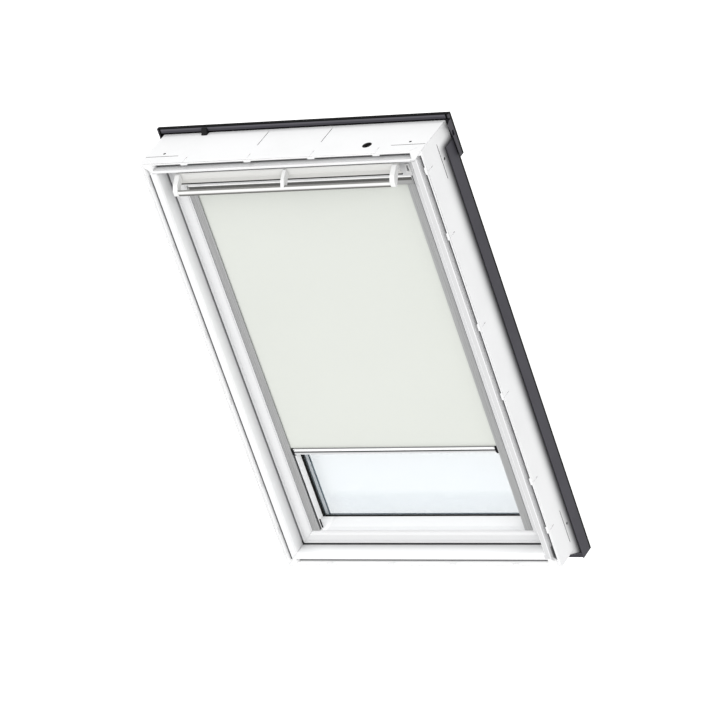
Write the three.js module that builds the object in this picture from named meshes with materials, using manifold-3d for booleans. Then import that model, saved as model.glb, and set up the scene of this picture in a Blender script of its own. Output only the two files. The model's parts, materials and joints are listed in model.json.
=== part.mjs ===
// Centre-pivot roof window in white polyurethane with a blackout roller blind fitted in its sash.
// Millimetres. X runs to the right seen from the room, Y outwards through the window, Z up the window.
// Every piece is drawn with y = 0 on the frame's room face and z = 0 under the frame. The whole is then
// moved so that the origin lies in the middle of the flat strip under the frame.
import * as THREE from "three";
import { mergeVertices } from "three/addons/utils/BufferGeometryUtils.js";
import Module from "manifold-3d";

const wasm = await Module();
wasm.setup();

// Clearances shared by all pieces
const seatGap = 0.3;
const mitreGap = 0.4;
const overrun = 2;
const arcSteps = 3;
const roundSides = 24;

// Frame
const frameWidth = 780;
const frameHeight = 1178;
const frameDepth = 137;
const grooveWall = 6;
const grooveWidth = 15.7;
const grooveDepth = 24;
const grooveTaper = 7;
const rimLineInset = 2;
const rimLineWidth = 1.3;
const rimLineDepth = 1.5;
const headPost = 33;
const sidePost = 14;
const bossLength = 18;
const bossReach = 3.5;
const bossDepth = 3;
const lipWidth = 17.3;
const lipRound = 6;
const headLipWidth = 8;
const headLipRound = 3;
const headStepDepth = 26;
const wallRound = 1.2;
const revealDepth = 39;
const drainFall = 6;
const undersideFlat = 52;

// Marks moulded in the frame's outer faces
const creaseWidth = 1.8;
const creaseDepth = 1.6;
const creaseLength = 25;
const cornerCreaseLength = 24;
const cornerCreaseTurn = 0.7;
const longCreaseStart = 63;
const longCreaseInset = 6;
const headCreaseShares = [-0.34, -0.113, 0.113, 0.34];
const sideCreaseShares = [-0.408, -0.288, -0.08, 0.086, 0.3, 0.452];
const slitWidth = 2.2;
const slitDepth = 8;
const slitLength = 92;
const headSlitDepth = 31;
const headSlitInset = 4;
const sideSlitDepth = 69;
const sideSlitInset = 26;
const pilotRadius = 3.6;
const pilotDepth = 9;
const pilotOffset = 13;
const cableHoleRadius = 12;
const cableHoleLength = 20;
const cableHoleInset = 164;
const cableHoleY = 37.6;
const grommetBore = 8;
const grommetLength = 9;

// Sill under the frame's outer half
const sillNoseDepth = 41;
const sillNoseDrop = 24;
const sillDrop = 36;

// Sash
const jointGap = 3;
const sashFaceInset = 97;
const sashBackInset = 11;
const sashFaceFlat = 25;
const faceLineInset = 7;
const faceLineWidth = 1.6;
const faceLineDepth = 1.2;
const beadReach = 31;
const beadFall = 3.5;
const beadStep = 2;
const sashFaceWidth = 34;
const revealStraight = 24;
const headExtra = 16;
const glassReachSide = 40;
const glassReachFoot = 39.6;
const glassSeatInset = 25.3;
const rebateInset = 26;
const sashRound = 2;

// Glazing
const paneThickness = 4;
const cavity = 12;
const paneEdgeGap = 1;
const sealThickness = 2.7;
const sealShowSide = 6;
const sealShowHead = 3.5;
const spacerWidth = 5.5;
const spacerShow = 0.5;
const spacerFootInset = 32.6;

// Centre pivot
const pivotInset = 25;
const pivotPinRadius = 7.7;
const pivotBore = 8;
const pivotPinInFrame = 12;
const pivotPinInSash = 14;
const plateThickness = 2.7;
const framePlateHeight = 130;
const framePlateDepth = 36;
const sashPlateHeight = 118;
const sashPlateDepth = 27.4;

// Weather covers
const sheet = 1.5;
const sideCoverOut = 7;
const sideCoverDepth = 44;
const sideCoverHeadInset = 48;
const sideCoverDrop = 40;
const sideCoverLap = 35;
const hoodOut = 14;
const hoodSkirtDepth = 3;
const hoodReach = 9;
const hoodRise = 18;
const hoodSkirtGap = 3.3;
const hoodDrop = 95;
const hoodCheekDepth = 20;
const hoodShoulder = 9;
const hoodWaistDepth = 11;
const hoodWaistDrop = 42;
const hoodFootDepth = 9;
const hoodSlotDepth = 11.5;
const hoodSlotWidth = 9.5;
const hoodSlotDrop = 24;
const hoodSlotHeight = 14;
const clipWidth = 15;
const clipInset = 121.5;
const clipRise = 15;
const clipReach = 11;
const clipToe = 3;
const clipTopReach = 3;
const jointCoverInset = 18;
const jointCoverWidth = 40;
const jointCoverFromPivot = 105;
const jointCoverHeadInset = 58;
const lapGap = 1.5;
const coverBaseInner = 45.5;
const coverFootInner = 30;
const coverFootLap = 12;
const coverBaseThick = 1.7;
const coverWeb = 7;
const lapCoverFromPivot = 115;
const lapCoverFootZ = 15;
const sillCoverTopZ = 34;

// Seals between frame and sash
const jointSealThickness = 1.4;
const jointSealSetback = 4;
const jointSealDepth = 6;

// Lock at the head of the sash
const lockLength = 120;
const lockWidth = 16;
const lockDepth = 14;
const lockSetback = 30;
const tongueWidth = 12;
const tongueThickness = 4;
const tongueSlot = 8;
const tonguePivotInset = 9;
const tongueRise = 1.5;
const trunnionRadius = 1.6;
const trunnionReach = 3;
const strikerSlot = 12;

// Barrel bolt that holds the turned sash while its outside is cleaned
const boltInset = 36;
const boltRadius = 4;
const boltLength = 40;
const boltDepthInSash = 16;
const boltHoleDepth = 14;
const guideWidth = 14;
const guideHeight = 26;
const guideTopInset = 14;
const knobRadius = 2;
const knobReach = 20;
const knobTravel = 12;

// Ventilation flap with its control bar
const flapEndInset = 42;
const flapReach = 27.5;
const flapHingeSetback = 8.2;
const flapHingeInset = 44.5;
const flapTopInset = 38.5;
const flapDrop = 32.5;
const flapThickness = 3;
const flapSetback = 7;
const flapSealHeight = 2;
const knuckleRadius = 4.4;
const knuckleLength = 12;
const knuckleBore = 2.5;
const hingePinRadius = 2.2;
const bracketWidth = 12;
const bracketDrop = 18;
const barReach = 58;
const barInset = 75;
const barDepth = 10;
const barHeight = 15;
const barRound = 4.4;
const armWidth = 13;
const middleArmWidth = 9;
const armTopInset = 39.5;
const armRootDrop = 14;
const armCrest = 3.5;
const armKneeReach = 9;
const armKneeRise = 13.5;
const armKneeRound = 14;
const armRound = 3;
const filterDepth = 14;
const filterHeight = 30;
const filterDrop = 6;
const filterEndInset = 28;

// Blind: cassette, roller, side channels, cloth and bottom bar
const channelWidth = 22;
const channelSetback = 6;
const channelFront = 3;
const channelSlot = 3.4;
const channelBack = 2;
const channelBackReach = 3;
const channelEdge = 1.4;
const channelEdgeDepth = 2.2;
const channelWall = 1.3;
const channelRib = 0.5;
const channelRibWidth = 1.6;
const channelRibShares = [0.2, 0.45, 0.7];
const cassetteHeight = 22.7;
const cassetteDepth = 30;
const cassetteWall = 1.2;
const cassetteEnd = 3;
const clothThickness = 0.8;
const clothInChannel = 12;
const rollRadius = 9.6;
const tubeRadius = 6.5;
const tubeWall = 1;
const journalRadius = 3;
const journalBore = 3.3;
const cartridgeLength = 240;
const cartridgeRadius = 5;
const rollEndInset = 5;
const barRestRise = 262.5;
const bottomBarHeight = 17.5;
const bottomBarDepth = 8;
const bottomBarRound = 1.5;
const barBeadHeight = 3;
const barBeadReach = 1.5;
const barBeadRound = 0.8;
const barNotchHeight = 3.5;
const barNotchDepth = 3;
const barEndGap = 1;
const barCapWidth = 3.7;
const barCapDepth = 7;
const shoeInChannel = 12;
const shoeSlack = 0.4;
const shoeOverhang = 4;
const footWidth = 10;
const footDepth = 4;
const footHeight = 24;
const footShow = 1.5;
const footRise = 3;

// Values that follow from the sizes above
const frameRim = grooveWall + grooveWidth + lipWidth;
const grooveInner = grooveWall + grooveWidth;
const headRim = grooveInner + headLipWidth;
const centreZ = frameHeight / 2;
const openingHalf = frameWidth / 2 - frameRim;
const openingBottomZ = frameRim;
const openingTopZ = frameHeight - frameRim;
const sashHalf = openingHalf - jointGap;
const sashWidth = 2 * sashHalf;
const sashBottomZ = openingBottomZ + jointGap;
const sashTopZ = openingTopZ - jointGap;
const sashHeight = sashTopZ - sashBottomZ;
const sashFaceY = frameDepth - sashFaceInset;
const sashBackY = frameDepth - sashBackInset;
const jointSealFrom = sashFaceY + jointSealSetback;
const jointSealTo = jointSealFrom + jointSealDepth;
const lockY = sashFaceY + lockSetback;
const flapFrontY = sashFaceY - flapReach;
const flapHingeY = flapFrontY + flapHingeSetback;
const barY = sashFaceY - barReach;
const channelFrontY = sashFaceY + channelSetback;
const channelDepth = channelFront + channelSlot + channelBack;
const clothY = channelFrontY + channelFront + channelSlot / 2;
const glassSeatY = sashBackY - glassSeatInset;
const pivotY = frameDepth - pivotInset;
const paneHalf = sashHalf - rebateInset - paneEdgeGap;
const paneBottomZ = sashBottomZ + rebateInset + paneEdgeGap;
const paneTopZ = sashTopZ - headExtra - rebateInset - paneEdgeGap;
const sealFrontY = glassSeatY + seatGap;
const innerPaneY = sealFrontY + sealThickness + seatGap;
const outerPaneY = innerPaneY + paneThickness + cavity;
const sashHeadWidth = sashFaceWidth + headExtra;
const headMitreShare = sashFaceWidth / sashHeadWidth;
const slopeFromY = sashFaceY + revealStraight;
const channelOuterX = sashHalf - sashFaceWidth - seatGap;
const channelInnerX = channelOuterX - channelWidth;
const channelFootZ = sashBottomZ + sashFaceWidth + seatGap;
const channelBackY = channelFrontY + channelDepth;
const cassetteTopZ = sashTopZ - sashHeadWidth - seatGap;
const cassetteBottomZ = cassetteTopZ - cassetteHeight;
const channelTopZ = cassetteBottomZ - seatGap;
const cassetteBackY = channelFrontY + cassetteDepth;
const cassetteSlopeShare = (cassetteBackY - slopeFromY) / (glassSeatY - slopeFromY);
const cassetteReach = sashFaceWidth + cassetteSlopeShare * (glassReachSide - sashFaceWidth);
const cassetteOuterX = sashHalf - cassetteReach - seatGap;
const rollerY = clothY + rollRadius;
const flapHalf = sashHalf - flapEndInset;
const barHalf = flapHalf - armWidth - seatGap;
const filterHalf = flapHalf - filterEndInset;
const barRestZ = sashBottomZ + barRestRise;
const rollerZ = (cassetteBottomZ + cassetteTopZ) / 2;
const boltX = sashHalf - boltInset;
const boltY = sashFaceY + boltDepthInSash;
const cableHoleX = frameWidth / 2 - cableHoleInset;
const clipX = frameWidth / 2 - clipInset;
const guideTop = sashTopZ - guideTopInset;
const guideBottom = guideTop - guideHeight;
const knobZ = guideBottom + (guideHeight - knobTravel) / 2;
const sillNoseY = frameDepth - sillNoseDepth;
const sideCoverFrom = frameDepth - sideCoverDepth;
const sideCoverTopZ = frameHeight - sideCoverHeadInset;
const hoodFrom = frameDepth - hoodSkirtDepth;
const hoodTo = frameDepth + hoodReach;
const hoodFootZ = frameHeight - hoodDrop;
const hoodCheekFrom = frameDepth - hoodCheekDepth;
const jointCoverOuter = frameWidth / 2 - jointCoverInset;
const jointCoverInner = jointCoverOuter - jointCoverWidth;
const jointCoverTopZ = frameHeight - jointCoverHeadInset;

const HALF_TURN = Math.PI;
const QUARTER_TURN = Math.PI / 2;

// Solids: three.js geometry turned into closed bodies that can be cut and joined
function solid(geometry) {
  const bare = geometry.clone();
  bare.deleteAttribute("normal");
  bare.deleteAttribute("uv");
  const merged = mergeVertices(bare);
  return new wasm.Manifold(
    new wasm.Mesh({
      numProp: 3,
      vertProperties: merged.attributes.position.array,
      triVerts: new Uint32Array(merged.index.array),
    }),
  );
}

function geometryOf(body) {
  const mesh = body.getMesh();
  const geometry = new THREE.BufferGeometry();
  geometry.setAttribute("position", new THREE.BufferAttribute(mesh.vertProperties, 3));
  geometry.setIndex(new THREE.BufferAttribute(mesh.triVerts, 1));
  geometry.computeVertexNormals();
  return geometry;
}

function cut(geometry, tools) {
  return geometryOf(tools.reduce((body, tool) => body.subtract(solid(tool)), solid(geometry)));
}

function join(geometries) {
  return geometryOf(geometries.map(solid).reduce((body, other) => body.add(other)));
}

// An outline whose corners are [u, v] or [u, v, radius]
function outline(corners) {
  const points = [];
  const count = corners.length;
  corners.forEach(([u, v, radius], i) => {
    const here = new THREE.Vector2(u, v);
    if (!radius) {
      points.push(here);
      return;
    }
    const before = new THREE.Vector2(...corners[(i + count - 1) % count]).sub(here).normalize();
    const after = new THREE.Vector2(...corners[(i + 1) % count]).sub(here).normalize();
    const half = Math.acos(before.dot(after)) / 2;
    const middle = before.clone().add(after).normalize();
    const centre = here.clone().addScaledVector(middle, radius / Math.sin(half));
    const start = here.clone().addScaledVector(before, radius / Math.tan(half)).sub(centre);
    const end = here.clone().addScaledVector(after, radius / Math.tan(half)).sub(centre);
    const sweep = Math.atan2(start.cross(end), start.dot(end));
    for (let k = 0; k <= arcSteps; k++) {
      const turned = start.clone().rotateAround(new THREE.Vector2(), (sweep * k) / arcSteps);
      points.push(turned.add(centre));
    }
  });
  return points;
}

function extruded(corners, length) {
  const shape = new THREE.Shape(outline(corners));
  return new THREE.ExtrudeGeometry(shape, { depth: length, bevelEnabled: false, steps: 1 });
}

// A section drawn in (y, z) and run along X
function alongX(corners, fromX, toX) {
  const turn = new THREE.Matrix4().makeBasis(
    new THREE.Vector3(0, 1, 0),
    new THREE.Vector3(0, 0, 1),
    new THREE.Vector3(1, 0, 0),
  );
  return extruded(corners, toX - fromX).applyMatrix4(turn).translate(fromX, 0, 0);
}

// A section drawn in (x, y) and run along Z
function alongZ(corners, fromZ, toZ) {
  return extruded(corners, toZ - fromZ).translate(0, 0, fromZ);
}

function block(fromX, toX, fromY, toY, fromZ, toZ) {
  return new THREE.BoxGeometry(toX - fromX, toY - fromY, toZ - fromZ).translate(
    (fromX + toX) / 2,
    (fromY + toY) / 2,
    (fromZ + toZ) / 2,
  );
}

function rodAlongX(radius, fromX, toX, y, z) {
  return new THREE.CylinderGeometry(radius, radius, toX - fromX, roundSides)
    .rotateZ(QUARTER_TURN)
    .translate((fromX + toX) / 2, y, z);
}

function rodAlongZ(radius, x, y, fromZ, toZ) {
  return new THREE.CylinderGeometry(radius, radius, toZ - fromZ, roundSides)
    .rotateX(QUARTER_TURN)
    .translate(x, y, (fromZ + toZ) / 2);
}

// A flat rectangular ring in the window's plane: half widths, bottom and top heights, front and back depths
function ring(outer, inner, fromY, toY) {
  const body = block(-outer.half, outer.half, fromY, toY, outer.bottom, outer.top);
  const hole = block(-inner.half, inner.half, fromY - overrun, toY + overrun, inner.bottom, inner.top);
  return cut(body, [hole]);
}

// A bar mitred at both ends, drawn as the left member of a frame centred on the Y axis.
// Its section is [inset from the outer face, depth]; each share says how steeply that end is cut.
function mitredBar(corners, span, length, nearShare = 1, farShare = 1) {
  const geometry = extruded(corners, length);
  const place = geometry.getAttribute("position");
  for (let i = 0; i < place.count; i++) {
    const inset = place.getX(i);
    const far = place.getZ(i) > 0;
    const reach = (length - mitreGap) / 2 - inset * (far ? farShare : nearShare);
    place.setX(i, inset - span / 2);
    place.setZ(i, far ? reach : -reach);
  }
  return geometry;
}

// Turns about Y that carry the left member to each side, with the sign that keeps a mark's place along it
const sides = {
  left: { turn: 0, along: 1 },
  bottom: { turn: -QUARTER_TURN, along: -1 },
  right: { turn: HALF_TURN, along: -1 },
  top: { turn: QUARTER_TURN, along: 1 },
};

// Materials
function finish(color, roughness, metalness) {
  return new THREE.MeshStandardMaterial({ color, roughness, metalness });
}

const finishes = {
  white: finish(0xf2f2f0, 0.45, 0),
  whiteTrim: finish(0xf6f6f4, 0.35, 0),
  cladding: finish(0x4f4d54, 0.45, 0.6),
  blackRubber: finish(0x141414, 0.85, 0),
  steel: finish(0xa8aaad, 0.35, 0.9),
  glass: finish(0xdce8ec, 0.05, 0),
  greyAluminium: finish(0xa9aba9, 0.4, 0.7),
  brightAluminium: finish(0xd8dad8, 0.3, 0.8),
  cloth: finish(0xe6e8e1, 0.9, 0),
  foam: finish(0x8d8f90, 0.95, 0),
  blackPlastic: finish(0x1a1a1b, 0.5, 0),
};

const model = new THREE.Group();
model.position.y = -undersideFlat / 2;

function add(name, geometry, material, place = {}) {
  const mesh = new THREE.Mesh(geometry, material);
  mesh.name = name;
  mesh.position.set(0, 0, place.z || 0);
  mesh.rotation.y = place.turn || 0;
  model.add(mesh);
  return mesh;
}

// Frame members
function frameSection(roomEdge, rearInset, outerFace) {
  return [
    [0, 0, wallRound],
    [rimLineInset, 0],
    [rimLineInset, rimLineDepth],
    [rimLineInset + rimLineWidth, rimLineDepth],
    [rimLineInset + rimLineWidth, 0],
    ...roomEdge,
    [frameRim, revealDepth],
    [rearInset, frameDepth],
    ...outerFace,
  ];
}

// The groove that holds the room's lining boards: its outer wall leans in towards the bottom,
// and a small boss stands in it under each crease mark
function grooveTool(span, length, post, marks) {
  const outer = -span / 2 + grooveWall;
  const inner = -span / 2 + grooveInner;
  const end = length / 2 - post;
  const section = [
    [outer, -overrun],
    [inner, -overrun],
    [inner, grooveDepth],
    [outer + grooveTaper, grooveDepth],
    [outer, 0],
  ];
  const groove = alongZ(section, -end, end);
  const bosses = marks.map((mark) =>
    block(outer - overrun, outer + bossReach, 0, bossDepth, mark - bossLength / 2, mark + bossLength / 2),
  );
  return cut(groove, bosses);
}

function creaseTools(span, marks, fromY, toY) {
  const face = -span / 2;
  return marks.map((mark) =>
    block(face - overrun, face + creaseDepth, fromY, toY, mark - creaseWidth / 2, mark + creaseWidth / 2),
  );
}

// Slanted creases that run from the groove's ends towards the corners
function cornerCreaseTools(span, length, post) {
  return [-1, 1].map((side) =>
    new THREE.BoxGeometry(2 * creaseDepth, cornerCreaseLength, creaseWidth)
      .translate(0, cornerCreaseLength / 2 - overrun, 0)
      .rotateX(side * cornerCreaseTurn)
      .translate(-span / 2, 0, side * (length / 2 - post)),
  );
}

function slitTools(span, length, depthY, inset) {
  const face = -span / 2;
  const far = length / 2 - inset;
  const near = far - slitLength;
  return [-1, 1].flatMap((end) => {
    const [from, to] = end > 0 ? [near, far] : [-far, -near];
    const pilot = new THREE.CylinderGeometry(pilotRadius, pilotRadius, 2 * pilotDepth, roundSides)
      .rotateZ(QUARTER_TURN)
      .translate(face, depthY + pilotOffset, (from + to) / 2);
    const slit = block(
      face - overrun,
      face + slitDepth,
      depthY - slitWidth / 2,
      depthY + slitWidth / 2,
      from,
      to,
    );
    return [slit, pilot];
  });
}

function pivotTools(span) {
  const inner = -span / 2 + frameRim;
  const pocket = plateThickness + seatGap;
  return [
    block(
      inner - pocket,
      inner + overrun,
      pivotY - framePlateDepth / 2 - seatGap,
      pivotY + framePlateDepth / 2 + seatGap,
      -framePlateHeight / 2 - seatGap,
      framePlateHeight / 2 + seatGap,
    ),
    rodAlongX(pivotBore, inner - pivotPinInFrame - seatGap, inner + overrun, pivotY, 0),
  ];
}

// The small block that squares the lip's inner corner where the head's lip is narrower than the sides'
function lipCorner(along) {
  const near = frameHeight / 2 - frameRim - overrun;
  const far = frameHeight / 2 - headRim - seatGap;
  const section = [
    [headRim - overrun, 0],
    [frameRim, 0, lipRound],
    [frameRim, headStepDepth - seatGap],
    [headRim - overrun, headStepDepth - seatGap],
  ].map(([inset, y, radius]) => [inset - frameWidth / 2, y, radius]);
  const [from, to] = along > 0 ? [near, far] : [-far, -near];
  return alongZ(section, from, to);
}

function makeFrame() {
  const lip = [[frameRim, 0, lipRound]];
  const steppedLip = [
    [headRim, 0, headLipRound],
    [headRim, headStepDepth],
    [frameRim, headStepDepth],
  ];
  const plainFace = [[0, frameDepth]];
  const facedForSill = [
    [seatGap, frameDepth],
    [seatGap, undersideFlat],
    [0, undersideFlat],
  ];
  const sections = {
    top: frameSection(steppedLip, frameRim, plainFace),
    bottom: frameSection(lip, frameRim - drainFall, facedForSill),
    side: frameSection(lip, frameRim, plainFace),
  };
  const headMarks = headCreaseShares.map((share) => share * frameWidth);
  for (const name of ["top", "bottom"]) {
    const tools = [
      grooveTool(frameHeight, frameWidth, headPost, headMarks),
      ...creaseTools(frameHeight, headMarks, -overrun, creaseLength),
      ...cornerCreaseTools(frameHeight, frameWidth, headPost),
      ...slitTools(frameHeight, frameWidth, headSlitDepth, headSlitInset),
    ];
    if (name === "top") {
      const cableHole = new THREE.CylinderGeometry(
        cableHoleRadius,
        cableHoleRadius,
        2 * cableHoleLength,
        roundSides,
      );
      tools.push(
        ...creaseTools(frameHeight, headMarks.slice(1, -1), longCreaseStart, frameDepth - longCreaseInset),
        cableHole.rotateZ(QUARTER_TURN).translate(-frameHeight / 2, cableHoleY, cableHoleX),
        boltHole(),
        strikerPocket(),
      );
    }
    const bar = cut(mitredBar(sections[name], frameHeight, frameWidth), tools);
    add(`frame_${name}`, bar, finishes.white, { z: centreZ, turn: sides[name].turn });
  }
  for (const name of ["left", "right"]) {
    const { turn, along } = sides[name];
    const marks = sideCreaseShares.map((share) => along * share * frameHeight).sort((a, b) => a - b);
    const tools = [
      grooveTool(frameWidth, frameHeight, sidePost, marks),
      ...creaseTools(frameWidth, marks, -overrun, creaseLength),
      ...slitTools(frameWidth, frameHeight, sideSlitDepth, sideSlitInset),
      ...pivotTools(frameWidth),
    ];
    const bar = mitredBar(sections.side, frameWidth, frameHeight);
    const member = cut(join([bar, lipCorner(along)]), tools);
    add(`frame_${name}`, member, finishes.white, { z: centreZ, turn });
  }
}

function makeGrommet() {
  const outer = cableHoleRadius - seatGap;
  const profile = [
    [grommetBore, 0],
    [outer, 0],
    [outer, grommetLength],
    [grommetBore, grommetLength],
    [grommetBore, 0],
  ].map(([radius, height]) => new THREE.Vector2(radius, height));
  const tube = new THREE.LatheGeometry(profile, roundSides)
    .rotateX(QUARTER_TURN)
    .translate(cableHoleX, cableHoleY, frameHeight - seatGap - grommetLength);
  add("cable_grommet", tube, finishes.blackRubber);
}

// The weathered nose under the frame's outer half
function makeSill() {
  const section = [
    [undersideFlat + seatGap, 0],
    [sillNoseY, -sillNoseDrop],
    [sillNoseY, -sillDrop],
    [frameDepth, -sillDrop],
    [frameDepth, 0],
  ];
  add("frame_sill", alongX(section, -frameWidth / 2, frameWidth / 2), finishes.white);
}

function makeJointSeal() {
  const outer = {
    half: openingHalf - seatGap,
    bottom: openingBottomZ + seatGap,
    top: openingTopZ - seatGap,
  };
  const inner = {
    half: outer.half - jointSealThickness,
    bottom: outer.bottom + jointSealThickness,
    top: outer.top - jointSealThickness,
  };
  add("frame_seal", ring(outer, inner, jointSealFrom, jointSealTo), finishes.blackRubber);
}

// Sash members: the head is wider than the others by the same extra all through its section
function sashSection(extra, glassReach) {
  const beadY = sashFaceY + beadFall;
  return [
    [0, sashFaceY, sashRound],
    [faceLineInset, sashFaceY],
    [faceLineInset, sashFaceY + faceLineDepth],
    [faceLineInset + faceLineWidth, sashFaceY + faceLineDepth],
    [faceLineInset + faceLineWidth, sashFaceY],
    [sashFaceFlat + extra, sashFaceY],
    [beadReach + extra, beadY],
    [beadReach + extra, beadY + beadStep],
    [sashFaceWidth + extra, beadY + beadStep],
    [sashFaceWidth + extra, slopeFromY],
    [glassReach, glassSeatY],
    [rebateInset + extra, glassSeatY],
    [rebateInset + extra, sashBackY],
    [0, sashBackY],
  ];
}

function sashPivotTools() {
  const face = -sashWidth / 2;
  return [
    block(
      face - overrun,
      face + plateThickness + seatGap,
      pivotY - sashPlateDepth / 2 - seatGap,
      pivotY + sashPlateDepth / 2 + seatGap,
      -sashPlateHeight / 2 - seatGap,
      sashPlateHeight / 2 + seatGap,
    ),
    rodAlongX(pivotBore, face - overrun, face + pivotPinInSash + seatGap, pivotY, 0),
  ];
}

function lockPocket() {
  const face = -sashHeight / 2;
  return block(
    face - overrun,
    face + lockDepth + seatGap,
    lockY - lockWidth / 2 - seatGap,
    lockY + lockWidth / 2 + seatGap,
    -lockLength / 2 - seatGap,
    lockLength / 2 + seatGap,
  );
}

function makeSash() {
  const head = mitredBar(
    sashSection(headExtra, sashHeadWidth),
    sashHeight,
    sashWidth,
    headMitreShare,
    headMitreShare,
  );
  const headTools = [lockPocket(), boltBore(), knobSlot(sashFaceY - overrun)];
  add("sash_top", cut(head, headTools), finishes.white, { z: centreZ, turn: sides.top.turn });
  const foot = mitredBar(sashSection(0, glassReachFoot), sashHeight, sashWidth);
  add("sash_bottom", foot, finishes.white, { z: centreZ, turn: sides.bottom.turn });
  for (const name of ["left", "right"]) {
    const { turn, along } = sides[name];
    const endShares = along > 0 ? [1, 1 / headMitreShare] : [1 / headMitreShare, 1];
    const stile = mitredBar(sashSection(0, glassReachSide), sashWidth, sashHeight, ...endShares);
    add(`sash_${name}`, cut(stile, sashPivotTools()), finishes.white, { z: centreZ, turn });
  }
}

// Double glazing with its spacer and seal
function makeGlazing() {
  const pane = (y) => block(-paneHalf, paneHalf, y, y + paneThickness, paneBottomZ, paneTopZ);
  add("pane_inner", pane(innerPaneY), finishes.glass);
  add("pane_outer", pane(outerPaneY), finishes.glass);
  const seat = {
    half: sashHalf - rebateInset - seatGap,
    bottom: sashBottomZ + rebateInset + seatGap,
    top: sashTopZ - headExtra - rebateInset - seatGap,
  };
  const sight = {
    half: sashHalf - glassReachSide - sealShowSide,
    bottom: sashBottomZ + glassReachFoot + sealShowHead,
    top: sashTopZ - sashHeadWidth - sealShowHead,
  };
  add("glazing_seal", ring(seat, sight, sealFrontY, sealFrontY + sealThickness), finishes.blackRubber);
  const inside = {
    half: sight.half - spacerShow,
    bottom: sashBottomZ + spacerFootInset,
    top: sight.top - spacerShow,
  };
  const edge = {
    half: inside.half + spacerWidth,
    bottom: inside.bottom - spacerWidth,
    top: inside.top + spacerWidth,
  };
  const spacerFrom = innerPaneY + paneThickness + seatGap;
  add("glass_spacer", ring(edge, inside, spacerFrom, outerPaneY - seatGap), finishes.brightAluminium);
}

// Centre pivots: a plate in the frame, a plate in the sash and the pin that joins them
function makePivots() {
  for (const [name, side] of [["left", -1], ["right", 1]]) {
    const along = (near, far) => (side < 0 ? [-far, -near] : [near, far]);
    const plate = (from, to, depth, height) => {
      const body = block(
        ...along(from, to),
        pivotY - depth / 2,
        pivotY + depth / 2,
        centreZ - height / 2,
        centreZ + height / 2,
      );
      return cut(body, [rodAlongX(pivotBore, ...along(from - overrun, to + overrun), pivotY, centreZ)]);
    };
    const framePlate = plate(openingHalf, openingHalf + plateThickness, framePlateDepth, framePlateHeight);
    const sashPlate = plate(sashHalf - plateThickness, sashHalf, sashPlateDepth, sashPlateHeight);
    add(`pivot_plate_frame_${name}`, framePlate, finishes.steel);
    add(`pivot_plate_sash_${name}`, sashPlate, finishes.steel);
    const pin = along(sashHalf - pivotPinInSash, openingHalf + pivotPinInFrame);
    add(`pivot_pin_${name}`, rodAlongX(pivotPinRadius, ...pin, pivotY, centreZ), finishes.steel);
  }
}

// Aluminium covers on the frame
function makeSideCovers() {
  const outer = frameWidth / 2 + sideCoverOut;
  const lap = outer - sideCoverLap - sideCoverOut;
  const flangeFrom = frameDepth + seatGap;
  const flangeTo = flangeFrom + sheet;
  for (const [name, side] of [["left", -1], ["right", 1]]) {
    const section = [
      [lap, flangeFrom],
      [outer - sheet, flangeFrom],
      [outer - sheet, sideCoverFrom],
      [outer, sideCoverFrom],
      [outer, flangeTo],
      [lap, flangeTo],
    ].map(([x, y]) => [side * x, y]);
    const corners = side > 0 ? section : section.reverse();
    add(`side_cover_${name}`, alongZ(corners, -sideCoverDrop, sideCoverTopZ), finishes.cladding);
  }
}

function makeHood() {
  const half = frameWidth / 2 + hoodOut;
  const foot = frameHeight + hoodSkirtGap;
  const top = frameHeight + hoodRise;
  const cap = [
    [hoodFrom, foot],
    [hoodFrom, top, sheet],
    [hoodTo, top, 2 * sheet],
    [hoodTo, hoodFootZ],
    [hoodTo - sheet, hoodFootZ],
    [hoodTo - sheet, top - sheet],
    [hoodFrom + sheet, top - sheet],
    [hoodFrom + sheet, foot],
  ];
  const plainCheek = [
    [frameDepth - hoodFootDepth, hoodFootZ],
    [hoodTo - sheet / 2, hoodFootZ],
    [hoodTo - sheet / 2, top - sheet / 2],
    [hoodFrom + sheet / 2, top - sheet / 2],
    [hoodFrom + sheet / 2, foot],
  ];
  const shoulderedCheek = [
    ...plainCheek,
    [frameDepth - hoodCheekDepth, foot - hoodShoulder],
    [frameDepth - hoodWaistDepth, foot - hoodWaistDrop],
  ];
  const slotFrom = frameDepth - hoodSlotDepth;
  const slotTop = frameHeight - hoodSlotDrop;
  const slot = block(
    -half - overrun,
    half + overrun,
    slotFrom,
    slotFrom + hoodSlotWidth,
    slotTop - hoodSlotHeight,
    slotTop,
  );
  const pieces = [
    alongX(cap, -half, half),
    alongX(plainCheek, -half, sheet - half),
    alongX(shoulderedCheek, half - sheet, half),
  ];
  add("hood", cut(join(pieces), [slot]), finishes.cladding);
  const clipBack = hoodFrom - seatGap;
  const clipBase = frameHeight + seatGap;
  const clip = [
    [clipBack - clipReach, clipBase],
    [clipBack, clipBase],
    [clipBack, clipBase + clipRise],
    [clipBack - clipTopReach, clipBase + clipRise],
    [clipBack - clipReach, clipBase + clipToe],
  ];
  add("hood_clip", alongX(clip, -clipX - clipWidth / 2, clipWidth / 2 - clipX), finishes.blackPlastic);
}

function makeJointCovers() {
  const flange = frameDepth + seatGap + sheet;
  const under = flange + lapGap;
  const over = under + sheet;
  const bottom = centreZ + jointCoverFromPivot;
  for (const [name, side] of [["left", -1], ["right", 1]]) {
    const section = [
      [jointCoverInner, under],
      [jointCoverOuter - sheet, under],
      [jointCoverOuter - sheet, flange + seatGap],
      [jointCoverOuter, flange + seatGap],
      [jointCoverOuter, over],
      [jointCoverInner, over],
    ].map(([x, y]) => [side * x, y]);
    const corners = side > 0 ? section : section.reverse();
    add(`joint_cover_${name}`, alongZ(corners, bottom, jointCoverTopZ), finishes.cladding);
  }
}

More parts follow.
